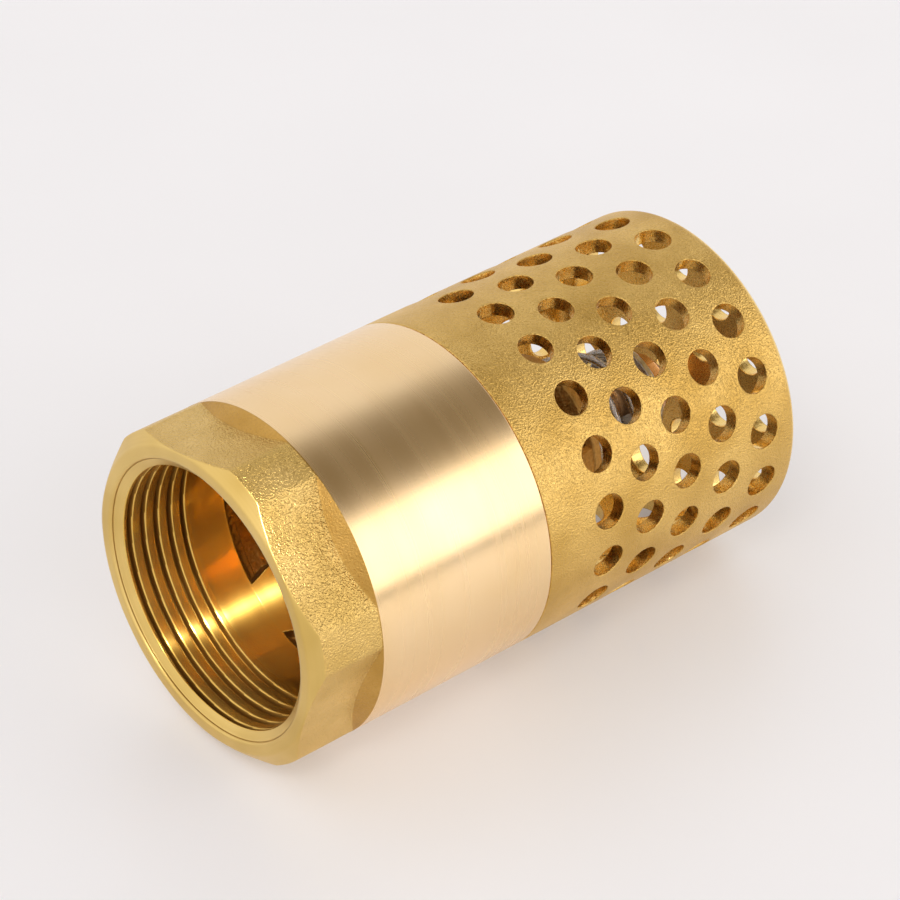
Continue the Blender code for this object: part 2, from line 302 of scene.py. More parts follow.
# ---- shader nodes ----
class Finish:
    """A material's node tree, with short calls for what the finishes share."""

    def __init__(self, name, **sockets):
        self.material = bpy.data.materials.new(name)
        self.material.use_nodes = True
        self.nodes = self.material.node_tree.nodes
        self.links = self.material.node_tree.links
        self.shader = self.nodes["Principled BSDF"]
        for socket, value in sockets.items():
            self.shader.inputs[socket.replace("_", " ").title()].default_value = value
        self.place = self.nodes.new("ShaderNodeTexCoord").outputs["Object"]

    def stretched(self, scale):
        """The place in millimetres, scaled along each axis."""
        mapping = self.nodes.new("ShaderNodeMapping")
        mapping.inputs["Scale"].default_value = [part / MM for part in scale]
        self.links.new(self.place, mapping.inputs["Vector"])
        return mapping.outputs["Vector"]

    def grain(self, size, detail, place=None):
        """Noise from 0 to 1 whose features are about size across."""
        texture = self.nodes.new("ShaderNodeTexNoise")
        texture.inputs["Scale"].default_value = 1 / size if place else 1 / size / MM
        texture.inputs["Detail"].default_value = detail
        self.links.new(place or self.place, texture.inputs["Vector"])
        return texture.outputs["Fac"]

    def cells(self, size):
        """Distance to the nearest of many scattered points, about size apart."""
        texture = self.nodes.new("ShaderNodeTexVoronoi")
        texture.inputs["Scale"].default_value = 1 / size / MM
        self.links.new(self.place, texture.inputs["Vector"])
        return texture.outputs["Distance"]

    def remap(self, value, low, high, to_low=0.0, to_high=1.0):
        """A value taken from one range to another, and held at its ends."""
        node = self.nodes.new("ShaderNodeMapRange")
        for socket, number in zip(("From Min", "From Max", "To Min", "To Max"),
                                  (low, high, to_low, to_high)):
            node.inputs[socket].default_value = number
        self.links.new(value, node.inputs["Value"])
        return node.outputs["Result"]

    def mix(self, amount, first, second):
        """Two colours mixed by an amount."""
        node = self.nodes.new("ShaderNodeMix")
        node.data_type = "RGBA"
        for socket, value in (("Factor_Float", amount), ("A_Color", first), ("B_Color", second)):
            target = next(part for part in node.inputs if part.identifier == socket)
            if isinstance(value, tuple):
                target.default_value = (*value, 1.0)
            elif isinstance(value, (int, float)):
                target.default_value = value
            else:
                self.links.new(value, target)
        return next(part for part in node.outputs if part.identifier == "Result_Color")

    def bump(self, height, depth, normal=None):
        """A bump of a height from 0 to 1 whose full depth is in millimetres."""
        node = self.nodes.new("ShaderNodeBump")
        node.inputs["Distance"].default_value = depth * MM
        self.links.new(height, node.inputs["Height"])
        if normal:
            self.links.new(normal, node.inputs["Normal"])
        return node.outputs["Normal"]

    def end(self, color=None, roughness=None, normal=None):
        """Connect the finished colour, roughness and normal, and hand over the material."""
        for socket, value in (("Base Color", color), ("Roughness", roughness), ("Normal", normal)):
            if value:
                self.links.new(value, self.shader.inputs[socket])
        return self.material


# ---- finishes ----
def cast_brass(name, light, dark, grain_size, grain_depth, roughness):
    """Raw cast and blasted brass: a leathery grain under fine pits, with slow changes of tone."""
    finish = Finish(name, metallic=1.0)
    patches = finish.grain(9.0, 3.0)
    leather = finish.remap(finish.grain(grain_size, 1.0), 0.2, 0.8)
    pits = finish.remap(finish.cells(grain_size * 0.8), 0.1, 0.7)
    dust = finish.grain(grain_size * 0.4, 1.0)
    tone = finish.mix(finish.remap(patches, 0.35, 0.65), dark, light)
    tone = finish.mix(finish.remap(leather, 0.3, 0.55, 0.5, 0.0), tone, dark)
    rough = finish.remap(dust, 0.3, 0.7, roughness - 0.05, roughness + 0.06)
    normal = finish.bump(leather, grain_depth)
    normal = finish.bump(pits, grain_depth * 0.55, normal)
    return finish.end(tone, rough, normal)


def turned_brass(name, light, dark, roughness, anisotropic, line_depth):
    """Brass turned on a lathe: fine lines that run round the axis, and a satin gloss."""
    finish = Finish(name, metallic=1.0, anisotropic=anisotropic)
    lines = finish.grain(0.22, 2.0, finish.stretched((1.0, 0.004, 0.004)))
    bands = finish.grain(2.5, 2.0, finish.stretched((1.0, 0.01, 0.01)))
    patches = finish.grain(14.0, 2.0)
    tone = finish.mix(finish.remap(patches, 0.35, 0.65), dark, light)
    tone = finish.mix(finish.remap(lines, 0.35, 0.7, 0.0, 0.25), tone, dark)
    rough = finish.remap(bands, 0.3, 0.7, roughness - 0.015, roughness + 0.015)
    normal = finish.bump(lines, line_depth)
    if anisotropic:
        tangent = finish.nodes.new("ShaderNodeTangent")
        tangent.direction_type = "RADIAL"
        tangent.axis = "X"
        finish.links.new(tangent.outputs["Tangent"], finish.shader.inputs["Tangent"])
        finish.shader.inputs["Anisotropic Rotation"].default_value = 0.25
    return finish.end(tone, rough, normal)


def steel(name, light, dark, roughness, size):
    """Drawn or turned steel with a faint mottled film."""
    finish = Finish(name, metallic=1.0)
    film = finish.grain(size * 4, 3.0)
    marks = finish.grain(size, 2.0)
    tone = finish.mix(finish.remap(film, 0.3, 0.7), dark, light)
    rough = finish.remap(marks, 0.3, 0.7, roughness - 0.05, roughness + 0.08)
    return finish.end(tone, rough, finish.bump(marks, 0.001))


def rubber(name):
    """Matt black moulded rubber."""
    finish = Finish(name, metallic=0.0)
    grain = finish.grain(0.25, 3.0)
    tone = finish.mix(finish.remap(grain, 0.3, 0.7), (0.014, 0.014, 0.015), (0.03, 0.03, 0.031))
    rough = finish.remap(grain, 0.3, 0.7, 0.55, 0.75)
    return finish.end(tone, rough, finish.bump(grain, 0.015))


COLLAR_CAST = cast_brass(
    "collar_cast_brass", (0.85, 0.59, 0.21), (0.68, 0.45, 0.13), 0.34, 0.11, 0.38)
STRAINER_CAST = cast_brass(
    "strainer_cast_brass", (0.80, 0.53, 0.16), (0.62, 0.38, 0.09), 0.30, 0.09, 0.38)
STRAINER_INSIDE = cast_brass(
    "strainer_inside_brass", (0.98, 0.72, 0.27), (0.90, 0.61, 0.19), 0.5, 0.02, 0.26)
BARREL_TURNED = turned_brass(
    "barrel_turned_brass", (0.95, 0.70, 0.40), (0.91, 0.65, 0.34), 0.27, 0.6, 0.003)
BORE_TURNED = turned_brass(
    "bore_turned_brass", (0.86, 0.58, 0.15), (0.76, 0.46, 0.09), 0.26, 1.0, 0.001)
BODY_FINISHES = {
    "cast": COLLAR_CAST,
    "machined": BARREL_TURNED,
    "bored": BORE_TURNED,
    "faced": turned_brass(
        "faced_brass", (0.80, 0.57, 0.20), (0.64, 0.43, 0.12), 0.32, 0.0, 0.004),
    # the shoulder's darker colours are painted shade of the slope that faces back
    "shoulder": cast_brass(
        "shoulder_painted_shade_brass", (0.62, 0.37, 0.10), (0.48, 0.27, 0.06), 0.3, 0.05, 0.38),
    # the grooves' dark colours are painted shade in the thread's recesses
    "groove": turned_brass(
        "thread_groove_painted_shade_brass", (0.40, 0.21, 0.04), (0.26, 0.13, 0.02), 0.45, 0.0, 0.002),
    # the pockets' dark colours are painted shade inside the recesses
    "pocket": cast_brass(
        "pocket_cast_painted_shade_brass", (0.38, 0.20, 0.05), (0.24, 0.12, 0.03), 0.8, 0.10, 0.40),
}
DISC_TURNED = turned_brass(
    "disc_turned_brass", (0.88, 0.60, 0.20), (0.80, 0.50, 0.15), 0.26, 0.0, 0.002)
STEM_BRASS = turned_brass(
    "stem_turned_brass", (0.80, 0.50, 0.26), (0.70, 0.40, 0.19), 0.24, 0.0, 0.002)
CAGE_CAST = cast_brass(
    "cage_cast_brass", (0.76, 0.47, 0.15), (0.60, 0.35, 0.10), 0.6, 0.06, 0.46)
SPRING_STEEL = steel("drawn_spring_steel", (0.62, 0.61, 0.60), (0.50, 0.49, 0.48), 0.26, 0.6)
PLATE_STEEL = steel("satin_steel", (0.70, 0.69, 0.68), (0.60, 0.59, 0.58), 0.30, 0.6)
SEAL_RUBBER = rubber("moulded_rubber")


# ---- valve body ----
def hexagon_radius(flats, angle):
    """Radius of a hexagon, given across its flats, at an angle."""
    from_flat = turn_between(angle, FIRST_CORNER) % 60.0 - 30.0
    return flats / 2 / math.cos(math.radians(from_flat))


def nose_radius(station):
    """The cone of the collar's front chamfer."""
    return NOSE_R + (BARREL_R - NOSE_R) * station / NOSE_LENGTH


def shoulder_radius(station):
    """The cone that rises behind the collar's flats to the barrel."""
    slope = (BARREL_R - FLATS / 2) / (COLLAR_LENGTH - SHOULDER_START)
    return FLATS / 2 + (station - SHOULDER_START) * slope


def collar_radius(station, angle):
    """Outside of the collar: flats, turned corners, front chamfer and rear shoulder."""
    radius = smooth_min(hexagon_radius(FLATS, angle), CORNER_R, CAST_EDGE)
    radius = smooth_min(radius, nose_radius(station), CAST_EDGE)
    radius = smooth_max(radius, min(shoulder_radius(station), BARREL_R), CAST_EDGE)
    radius += unevenness(station, angle, 5.0, 0.02)
    return min(radius, BARREL_R)


def thread_radius(station, angle):
    """Inside of the outlet: slightly domed crests and narrow V grooves on a helix."""
    lead = FIRST_GROOVE + THREAD_PITCH * turn_between(angle, 0.0) / 360.0
    from_groove = (station - lead + THREAD_PITCH / 2) % THREAD_PITCH - THREAD_PITCH / 2
    height = 1.0 - abs(from_groove) / THREAD_HALF_GROOVE
    height = smooth_max(height, 0.0, GROOVE_EASING)
    height = smooth_min(height, 0.9, GROOVE_EASING)
    fade = 1.0 - ramp(station, THREAD_END - 1.2, THREAD_END - 0.3)
    round_crest = CREST_ROUNDING * (1 - abs(from_groove) * 2 / THREAD_PITCH) ** 2
    return THREAD_CREST_R + (THREAD_DEPTH * height + round_crest) * fade


def rib_half_width(station):
    """Half of a rib's width, in degrees: the ribs widen from the pockets' front edge."""
    part = min(max((station - POCKET_START) / (RIB_FULL_AT - POCKET_START), 0.0), 1.0)
    return RIB_NARROW + (RIB_HALF_WIDTH + 1.0 - RIB_NARROW) * part


def follow_ribs(station, angle):
    """Move a column's angle so that the columns at the ribs' edges keep to those edges."""
    half_width = rib_half_width(station)
    centre = min(RIB_CENTRES, key=lambda rib: abs(turn_between(angle, rib)))
    away = turn_between(angle, centre)
    if abs(away) < RIB_HALF_WIDTH:
        moved = abs(away) * half_width / RIB_HALF_WIDTH
    else:
        moved = half_width + (abs(away) - RIB_HALF_WIDTH) * (
            60.0 - half_width) / (60.0 - RIB_HALF_WIDTH)
    return centre + math.copysign(moved, away)


def pocket_radius(station, angle):
    """Inside of the body behind the bore: ribs at the bore's radius, pockets between them."""
    centre = min(RIB_CENTRES, key=lambda rib: abs(turn_between(angle, rib)))
    away = abs(turn_between(angle, centre))
    half_width = rib_half_width(station)
    outside_rib = ramp(away, half_width - 0.35, half_width + 0.45)
    floor = BORE_R
    for depth, first, last in POCKET_STEPS:
        floor += depth * ramp(station, POCKET_START + first, POCKET_START + last)
    last_depth = POCKET_R - BORE_R - sum(step[0] for step in POCKET_STEPS)
    first, last = POCKET_WALL
    floor += last_depth * ramp(station, POCKET_START + first, POCKET_START + last)
    floor += unevenness(station, angle, 1.3, 0.10) * ramp(station, POCKET_START, POCKET_START + 1)
    return BORE_R + (floor - BORE_R) * outside_rib


def surface_at(kind, station, radius):
    """The finish of one face of the body, from its row's kind of surface and its own place; the
    shoulder, groove and pocket finishes are painted shade.
    """
    if kind == "cast":
        if station < 0.05 or abs(radius - nose_radius(station)) < 0.1:
            return "faced"
        if abs(radius - shoulder_radius(station)) < 0.1:
            return "shoulder"
    if kind == "bored" and station < THREAD_END and radius > THREAD_CREST_R + 0.16:
        return "groove" if station > THREAD_START else "faced"
    if kind == "bored" and station > POCKET_START and radius > BORE_R + 0.3:
        return "pocket"
    return kind


def body_columns():
    """Angles of the mesh's columns, close together where a hexagon's or a rib's edge runs."""
    turned_half = 30.0 - math.degrees(math.acos(FLATS / 2 / CORNER_R))
    edges = [FIRST_CORNER + 60.0 * index + side * turned_half
             for index in range(6) for side in (-1, 1)]
    edges += [centre + side * RIB_HALF_WIDTH for centre in RIB_CENTRES for side in (-1, 1)]
    columns, angle = [], 0.0
    while angle < 360.0 - 0.1:
        columns.append(angle)
        nearest = min(abs(turn_between(angle, edge)) for edge in edges)
        angle += min(max(0.2 + 0.35 * (nearest - 0.8), 0.2), 1.2)
    return columns


def valve_body():
    """Rows of points round the casting: the outside to the back, then the inside to the mouth."""
    columns = body_columns()
    rows = []  # each row: kind of surface, station, radius or its function

    def add_rows(kind, places, radius=None):
        for place in places:
            station, size = place if isinstance(place, tuple) else (place, radius)
            rows.append((kind, station, size))

    add_rows("cast", [(0.06, MOUTH_R), (0.0, MOUTH_R + 0.08), (0.0, MOUTH_R + 0.6),
                      (0.0, NOSE_R - 0.5), (0.0, NOSE_R - 0.15), (0.03, NOSE_R - 0.03)])
    add_rows("cast", steps(0.1, NOSE_LENGTH + 0.4, 0.08), collar_radius)
    add_rows("cast", steps(NOSE_LENGTH + 0.4, SHOULDER_START - 0.7, 0.5), collar_radius)
    add_rows("cast", steps(SHOULDER_START - 0.7, COLLAR_LENGTH, 0.07), collar_radius)
    add_rows("cast", [(COLLAR_LENGTH, BARREL_R)])
    add_rows("machined", steps(COLLAR_LENGTH + 0.05, BARREL_END - 0.3, 2.0), BARREL_R)
    add_rows("machined", [(BARREL_END - 0.2, BARREL_R), (BARREL_END - 0.1, BARREL_R),
                          (BARREL_END - 0.03, BARREL_R - 0.05), (BARREL_END, BARREL_R - 0.13)])
    add_rows("machined", [(BARREL_END, BARREL_R - 0.5), (BARREL_END, SOCKET_R + 0.2),
                          (BARREL_END - 0.2, SOCKET_R)])
    add_rows("bored", steps(BARREL_END - 0.4, SOCKET_START + 0.2, 1.0), SOCKET_R)
    add_rows("bored", [(SOCKET_START + 0.05, SOCKET_R), (SOCKET_START, SOCKET_R - 0.05)])
    add_rows("bored", steps(SOCKET_START, RIB_FULL_AT, 0.6), pocket_radius)
    add_rows("bored", steps(RIB_FULL_AT, POCKET_START, 0.12), pocket_radius)
    add_rows("bored", [(POCKET_START, BORE_R), (POCKET_START - 0.08, BORE_R + 0.04),
                       (POCKET_START - 0.16, BORE_R)])
    add_rows("bored", steps(POCKET_START - 0.3, THREAD_END + 0.1, 0.8), BORE_R)
    add_rows("bored", [(THREAD_END, BORE_R), (THREAD_END - 0.1, BORE_R + 0.03),
                       (THREAD_END - 0.15, THREAD_CREST_R)])
    add_rows("bored", steps(THREAD_END - 0.25, THREAD_START, 0.085), thread_radius)
    # the mouth's countersink, and a shallow mark of the tool
    add_rows("bored", [(THREAD_START, THREAD_CREST_R), (1.25, THREAD_CREST_R + 0.12),
                       (0.62, 20.82), (0.56, 20.95), (0.44, 21.0), (0.38, 20.93), (0.3, 20.97),
                       (0.2, 21.02)])
    vertices = []
    for _, station, size in rows:
        for column in columns:
            angle = follow_ribs(station, column) if size is pocket_radius else column
            radius = size(station, angle) if callable(size) else size
            vertices.append(at(station, radius, angle))
    faces = loop_faces(len(rows), len(columns), True)
    kinds = []
    for index, face in enumerate(faces):
        places = [vertices[corner] for corner in face]
        station = sum(place[0] for place in places) / 4 / MM - OUTLET_X
        radius = sum(radius_of(place) for place in places) / 4
        kind = surface_at(rows[index // len(columns)][0], station, radius)
        kinds.append(list(BODY_FINISHES).index(kind))
    body = add_piece("body_casting", vertices, faces, list(BODY_FINISHES.values()), kinds)
    return finish_piece(body, "housing", "machined_brass", "valve_body")


# ---- strainer ----
def strainer_inner_radius(station):
    """Inside of the strainer's wall, which slopes in towards its end wall."""
    slope_start = LENGTH - END_WALL - END_BEVEL
    return INNER_R - max(station - slope_start, 0.0)


def drilled_radius():
    """A hole's radius, which differs a little from hole to hole."""
    return HOLE_R + random.uniform(-0.04, 0.04)


def hole_cell(low, high, middle, station, shift, radius):
    """One hole's cell of wall: loops of points from the outer rectangle through to the inner.

    The cell runs from station low to high round the angle middle.  The hole's centre is at its
    own station, and shift degrees from the middle."""
    inner_high = min(high, INNER_EDGE)
    half_turn = 180.0 / HOLES_PER_RING
    centre = middle + shift

    def rectangle(top):
        corners = []
        for side in range(4):
            for step in range(CELL_SIDE):
                along = -1.0 + 2.0 * step / CELL_SIDE
                across_part, along_part = ((1.0, along), (-along, 1.0),
                                           (-1.0, -along), (along, -1.0))[side]
                corners.append((low + (top - low) * (along_part + 1) / 2,
                                middle + half_turn * across_part))
        return corners

    def circle(size, depth_radius):
        points = []
        for index in range(HOLE_POINTS):
            turn = 2 * math.pi * index / HOLE_POINTS - math.pi / 4
            across = math.asin(size * math.cos(turn) / depth_radius)
            points.append((station + size * math.sin(turn), centre + math.degrees(across)))
        return points

    def between(first, second, part):
        return [(a + (c - a) * part, b + (d - b) * part)
                for (a, b), (c, d) in zip(first, second)]

    outer_rectangle, inner_rectangle = rectangle(high), rectangle(inner_high)
    outer_circle = circle(radius + HOLE_LIP, BARREL_R)
    inner_circle = circle(radius + HOLE_LIP, INNER_R)

    def outside(points):
        return [at(place, BARREL_R, angle) for place, angle in points]

    def inside(points):
        return [at(place, strainer_inner_radius(place), angle) for place, angle in points]

    def tunnel(size, depth):
        loop = []
        for (place, angle) in circle(size, BARREL_R - depth):
            deepest = strainer_inner_radius(place) + 0.02
            loop.append(at(place, max(BARREL_R - depth, deepest), angle))
        return loop

    lip = HOLE_LIP
    return [
        outside(outer_rectangle),
        outside(between(outer_rectangle, outer_circle, 0.5)),
        outside(between(outer_rectangle, outer_circle, 0.85)),
        outside(outer_circle),
        tunnel(radius + lip * 0.35, lip * 0.1),
        tunnel(radius + lip * 0.08, lip * 0.4),
        tunnel(radius, lip),
        tunnel(radius, WALL * 0.5),
        tunnel(radius, WALL - lip),
        tunnel(radius + lip * 0.1, WALL - lip * 0.4),
        inside(inner_circle),
        inside(between(inner_circle, inner_rectangle, 0.4)),
        inside(inner_rectangle),
    ]


def hole_circle(hole, station, extra):
    """A circle of points round a hole of the end wall, extra wider than the hole."""
    across, up, radius = hole
    points = []
    for index in range(HOLE_POINTS):
        turn = 2 * math.pi * index / HOLE_POINTS
        points.append(((OUTLET_X + station) * MM,
                       (across + (radius + extra) * math.cos(turn)) * MM,
                       (AXIS_Z + up + (radius + extra) * math.sin(turn)) * MM))
    return points


def end_hole_tunnel(hole):
    """A hole through the end wall, with rounded lips on both faces."""
    loops = []
    for face, inward in ((LENGTH, -1), (LENGTH - END_WALL, 1)):
        lip = [(0.0, END_LIP), (0.0, HOLE_LIP), (0.1, 0.35 * HOLE_LIP),
               (0.4, 0.08 * HOLE_LIP), (1.0, 0.0)]
        side = [hole_circle(hole, face + inward * depth * HOLE_LIP, extra) for depth, extra in lip]
        loops.extend(side if face == LENGTH else side[::-1])
    points = [point for loop in loops for point in loop]
    return points, loop_faces(len(loops), HOLE_POINTS, False)


def perforated_face(station, face_r, angles, holes):
    """A flat face of the end wall: triangles between its rim and its holes."""
    points, edges = [], []
    loops = [[at(station, face_r, angle) for angle in angles]]
    loops += [hole_circle(hole, station, END_LIP) for hole in holes]
    for loop in loops:
        start = len(points)
        points.extend(Vector((place[1] / MM, place[2] / MM)) for place in loop)
        edges.extend((start + index, start + (index + 1) % len(loop))
                     for index in range(len(loop)))
    flat, _, triangles, *_ = delaunay_2d_cdt(points, edges, [], 0, 1e-6)
    kept = []
    for triangle in triangles:
        middle = sum((flat[corner] for corner in triangle), Vector((0.0, 0.0))) / 3
        if all(math.hypot(middle.x - across, middle.y - AXIS_Z - up) > radius + HOLE_LIP
               for across, up, radius in holes):
            kept.append(tuple(triangle))
    return [((OUTLET_X + station) * MM, point.x * MM, point.y * MM) for point in flat], kept


def strainer_basket():
    around = HOLES_PER_RING * CELL_SIDE
    first_angle = FIRST_HOLE - 180.0 / HOLES_PER_RING
    angles = [first_angle + 360.0 * index / around for index in range(around)]
    vertices, faces = [], []

    def add_shape(points, polygons):
        start = len(vertices)
        vertices.extend(points)
        faces.extend(tuple(start + corner for corner in polygon) for polygon in polygons)

    def add_band(outline):
        """A band of wall between rings of (station, radius)."""
        add_shape([at(station, radius, angle) for station, radius in outline for angle in angles],
                  loop_faces(len(outline), around, False))

    edges = [(first + second) / 2 for first, second in zip(HOLE_RINGS, HOLE_RINGS[1:])]
    edges = [HOLE_RINGS[0] * 2 - edges[0], *edges, HOLE_RINGS[-1] * 2 - edges[-1]]
    joint = BARREL_END + JOINT_GAP

    # outside, from the spigot to the holes and from the holes to the end's face
    add_band([
        (SPIGOT_START, SPIGOT_INNER_R + 0.3), (SPIGOT_START, SPIGOT_R - 0.3),
        (SPIGOT_START + 0.3, SPIGOT_R), (joint - 0.1, SPIGOT_R), (joint, SPIGOT_R + 0.1),
        (joint, BARREL_R - 0.14), (joint + 0.04, BARREL_R - 0.05), (joint + 0.12, BARREL_R),
        (joint + 0.4, BARREL_R), (joint + 3.0, BARREL_R), (edges[0] - 2.0, BARREL_R),
        (edges[0], BARREL_R),
    ])
    rounding = []
    segments = 8
    for step in range(segments + 1):
        turn = math.pi / 2 * step / segments
        rounding.append((LENGTH - END_ROUNDING * (1 - math.sin(turn)),
                         BARREL_R - END_ROUNDING * (1 - math.cos(turn))))
    end_face_r = BARREL_R - END_ROUNDING - 0.1
    add_band([(edges[-1], BARREL_R), *rounding, (LENGTH, end_face_r)])
    # inside, from the end wall to the holes and from the holes to the spigot
    end = LENGTH - END_WALL
    inner_end_r = strainer_inner_radius(end)
    inner_face_r = inner_end_r - 0.2
    add_band([(end, inner_face_r), (end, inner_end_r - 0.05),
              (end - 0.1, strainer_inner_radius(end - 0.1)),
              (INNER_EDGE, strainer_inner_radius(INNER_EDGE))])
    add_band([
        (edges[0], INNER_R), (joint + 3.6, INNER_R),
        (joint + 3.0, INNER_R - 0.3), (joint + 1.4, SPIGOT_INNER_R + 0.3),
        (joint + 0.6, SPIGOT_INNER_R), (SPIGOT_START + 0.3, SPIGOT_INNER_R),
        (SPIGOT_START, SPIGOT_INNER_R + 0.3),
    ])
    # the end wall: its two faces, and the holes between them
    holes = []
    for ring_r, count, first in END_HOLE_RINGS:
        for index in range(count):
            turn = math.radians(first + 360.0 * index / count)
            place_r = ring_r + random.uniform(-0.06, 0.06)
            holes.append((-place_r * math.sin(turn), place_r * math.cos(turn), drilled_radius()))
    for station, face_r in ((LENGTH, end_face_r), (end, inner_face_r)):
        add_shape(*perforated_face(station, face_r, angles, holes))
    for hole in holes:
        add_shape(*end_hole_tunnel(hole))
    # the rings of holes
    pitch = 360.0 / HOLES_PER_RING
    for row, station in enumerate(HOLE_RINGS):
        for index in range(HOLES_PER_RING):
            middle = FIRST_HOLE + (index + 0.5 * (row % 2)) * pitch
            loops = hole_cell(
                edges[row], edges[row + 1], middle, station + random.uniform(-0.08, 0.08),
                random.uniform(-0.15, 0.15), drilled_radius())
            add_shape([point for loop in loops for point in loop],
                      loop_faces(len(loops), HOLE_POINTS, False))
    kinds = []  # 0 outside and 1 inside
    for face in faces:
        places = [vertices[corner] for corner in face]
        radius = max(radius_of(place) for place in places)
        station = max(place[0] for place in places) / MM - OUTLET_X
        kinds.append(0 if radius > BARREL_R - 0.1 or station > LENGTH - 0.1 else 1)
    basket = add_piece("strainer_casting", vertices, faces, [STRAINER_CAST, STRAINER_INSIDE],
                       kinds)
    return finish_piece(basket, "housing", "cast_brass", "strainer_basket")


# ---- guide cage ----
def join_solids(target, others):
    """Union of closed meshes into the first one."""
    for other in others:
        modifier = target.modifiers.new("union", "BOOLEAN")
        modifier.operation = "UNION"
        modifier.solver = "EXACT"
        modifier.object = other
        joined = bpy.data.meshes.new_from_object(
            target.evaluated_get(bpy.context.evaluated_depsgraph_get()))
        target.modifiers.clear()
        target.data = joined
        bpy.data.objects.remove(other)
    target.data.shade_smooth()
    target.data.set_sharp_from_angle(angle=math.radians(40.0))
    return target


def cage_arm(centre):
    """One arm of the cage: a strip of cone with rounded long edges."""
    front = CAGE_START + SEAT_LIP + RIM_LENGTH - 1.0
    back = FLANGE_STATION + 0.5
    edge = 0.7  # rounding of the arm's long edges
    columns = 16
    stations = steps(front, back, 2.0) + [back]
    vertices = []
    for station in stations:
        part = (station - front) / (back - front)
        outer = CONE_START_R + (FLANGE_R - 0.4 - CONE_START_R) * part
        inner = outer - ARM_WALL
        section = [(outer, ARM_HALF_WIDTH * (2 * step / columns - 1))
                   for step in range(columns + 1)]
        section += [(inner, ARM_HALF_WIDTH * (1 - 2 * step / columns))
                    for step in range(columns + 1)]
        for radius, away in section:
            room = math.radians(ARM_HALF_WIDTH - abs(away)) * radius
            rounded = edge - math.sqrt(max(edge ** 2 - max(edge - room, 0.0) ** 2, 0.0))
            shaped = radius - rounded if radius == outer else radius + rounded
            vertices.append(at(station, shaped, centre + away))
    around = len(section)
    faces = loop_faces(len(stations), around, False)
    faces.append(tuple(range(around)))
    faces.append(tuple(range(len(vertices) - around, len(vertices)))[::-1])
    return add_piece("arm", vertices, faces, [CAGE_CAST])


def guide_cage():
    """The cage: a seat and rim in front, three arms, and a hub with the spring's flange."""
    front = CAGE_START + SEAT_LIP
    back = front + RIM_LENGTH
    rim = turned("seat_cage", fillet([
        (CAGE_START, SEAT_R, 0.2), (CAGE_START, SEAT_LIP_R, 0.2), (front, SEAT_LIP_R + 0.4, 0.2),
        (front, CAGE_R, 0.3), (back, CAGE_R, 0.3), (back, CONE_START_R - ARM_WALL, 0.6),
        (back - 0.6, SEAT_R, 0.3),
    ]), CAGE_CAST)
    hub = turned("hub", fillet([
        (CAGE_END, STEM_HOLE_R, 0.3), (HUB_START, STEM_HOLE_R, 0.3), (HUB_START, HUB_R, 0.6),
        (FLANGE_STATION - 2.0, HUB_R, 0.8), (FLANGE_STATION - 1.4, FLANGE_R - 2.0, 0.4),
        (FLANGE_STATION, FLANGE_R, 0.3), (CAGE_END, FLANGE_R, 0.3),
    ]), CAGE_CAST, 96)
    cage = join_solids(rim, [cage_arm(centre) for centre in RIB_CENTRES] + [hub])
    return finish_piece(cage, "housing", "cast_brass", "guide_cage")


# ---- poppet, stem and spring ----
def washer(name, node, finish, body, slot, rounding):
    """A flat turned ring on the stem, in the place of a CAD node."""
    front, back, outer_r = node_span(node)
    ring = turned(name, fillet([
        (front, STEM_HOLE_R, rounding), (front, outer_r, rounding),
        (back, outer_r, rounding), (back, STEM_HOLE_R, rounding),
    ]), finish)
    return finish_piece(ring, body, slot, node)


def nut(name, node, flats, finish, slot):
    """A hexagon nut with turned chamfers in front and behind."""
    front, back, _ = node_span(node)
    corner_r = flats / math.sqrt(3)
    chamfer = 0.6

    def shaped(station, radius, angle):
        if radius < STEM_HOLE_R + 0.5:
            return radius
        from_end = min(station - front, back - station)
        cone = flats / 2 * 0.96 + from_end * (corner_r - flats / 2) / chamfer
        return smooth_min(min(hexagon_radius(flats, angle), radius), cone, 0.15)

    stations = steps(front, front + 1.2, 0.1) + steps(front + 1.2, back - 1.2, 0.5)
    stations += steps(back - 1.2, back, 0.1) + [back]
    outline = [(front, STEM_HOLE_R + 0.4), (front, flats / 2 * 0.8)]
    outline += [(station, corner_r) for station in stations]
    outline += [(back, flats / 2 * 0.8), (back, STEM_HOLE_R + 0.4),
                (back - 0.4, STEM_HOLE_R), (front + 0.4, STEM_HOLE_R)]
    made = turned(name, outline, finish, 180, shaped)
    return finish_piece(made, "poppet", slot, node)


